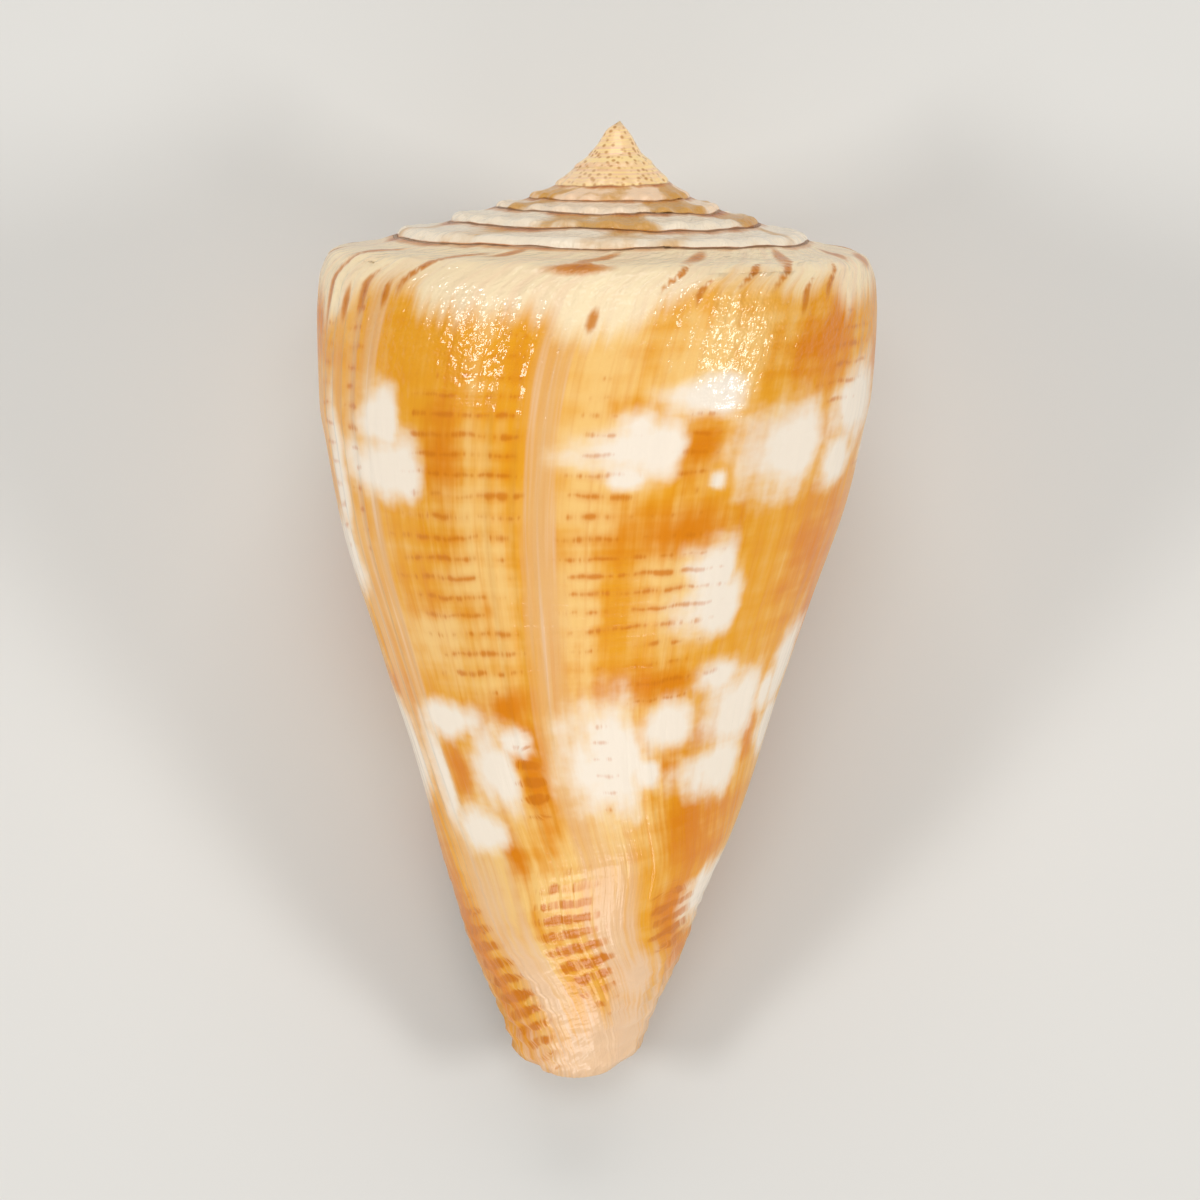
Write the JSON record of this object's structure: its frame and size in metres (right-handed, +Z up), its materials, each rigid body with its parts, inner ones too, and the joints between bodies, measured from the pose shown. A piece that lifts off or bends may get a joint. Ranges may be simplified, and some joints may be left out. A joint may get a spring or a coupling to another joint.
{
  "type": "cone shell",
  "caption": "Glossy cone-shaped sea shell with a low stepped spire, a long narrow aperture and a thin lip, lying on its underside.",
  "frame": {"origin": "on the ground under the middle of the shell's bounding box", "axes": "+Y towards the spire's end, -X to the side of the lip, +Z up from the ground to the back of the shell"},
  "size_m": [0.026, 0.044, 0.0247],
  "materials": {
    "shell": "gloss"
  },
  "bodies": {
    "root": {"cone_shell": "shell"}
  },
  "joints": []
}
